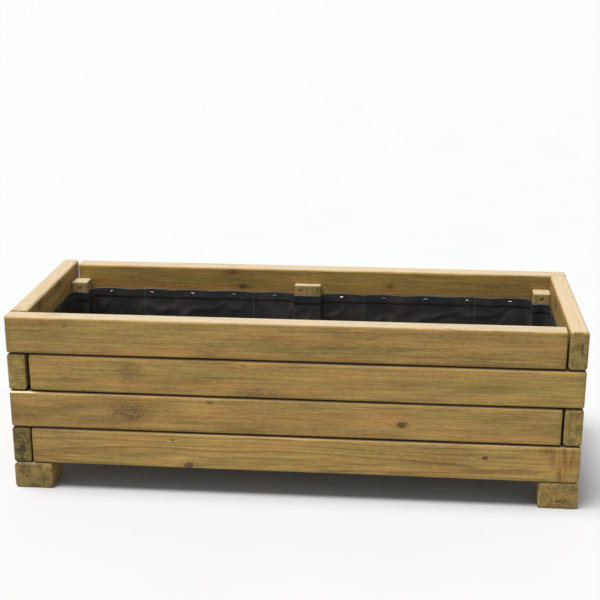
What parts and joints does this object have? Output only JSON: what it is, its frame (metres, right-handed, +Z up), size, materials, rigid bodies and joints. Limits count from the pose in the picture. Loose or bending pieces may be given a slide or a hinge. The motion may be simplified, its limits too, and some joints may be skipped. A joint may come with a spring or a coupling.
{
  "type": "planter box",
  "caption": "Rectangular timber planter box of stacked lapped boards on block feet, with an inner frame, slatted floor and fabric liner, open at the top for soil and plants.",
  "frame": {"origin": "on the ground, under the middle of the box", "axes": "+X along the length to the viewer's right, +Y from the front to the back, +Z up"},
  "size_m": [1.375, 0.53, 0.446],
  "materials": {
    "wall_boards": "planed pressure-treated softwood, weathered tan with an olive tint",
    "feet": "planed treated softwood blocks, mottled end grain",
    "inner_frame": "treated softwood, sawn and eased",
    "floor_slats": "treated softwood, sawn and eased",
    "liner": "black woven polypropylene ground cover",
    "screws": "yellow zinc plated",
    "staples": "galvanised wire"
  },
  "bodies": {
    "root": {"front_board_1": "wall_boards", "front_board_2": "wall_boards", "front_board_3": "wall_boards", "front_board_4": "wall_boards", "back_board_1": "wall_boards", "back_board_2": "wall_boards", "back_board_3": "wall_boards", "back_board_4": "wall_boards", "left_board_1": "wall_boards", "left_board_2": "wall_boards", "left_board_3": "wall_boards", "left_board_4": "wall_boards", "right_board_1": "wall_boards", "right_board_2": "wall_boards", "right_board_3": "wall_boards", "right_board_4": "wall_boards", "foot_front_left": "feet", "corner_post_front_left": "inner_frame", "foot_front_right": "feet", "corner_post_front_right": "inner_frame", "foot_back_left": "feet", "corner_post_back_left": "inner_frame", "foot_back_right": "feet", "corner_post_back_right": "inner_frame", "batten_front": "inner_frame", "batten_back": "inner_frame", "floor_rail_front": "inner_frame", "floor_rail_back": "inner_frame", "end_rail_left": "inner_frame", "end_rail_right": "inner_frame", "floor_slat_1": "floor_slats", "floor_slat_2": "floor_slats", "floor_slat_3": "floor_slats", "floor_slat_4": "floor_slats", "floor_slat_5": "floor_slats", "floor_slat_6": "floor_slats", "floor_slat_7": "floor_slats", "floor_slat_8": "floor_slats", "floor_slat_9": "floor_slats", "floor_slat_10": "floor_slats", "floor_slat_11": "floor_slats", "liner": "liner", "liner_staples": "staples", "post_screws": "screws", "batten_screws": "screws", "rail_screws": "screws", "slat_screws": "screws", "foot_screws": "screws"}
  },
  "joints": []
}
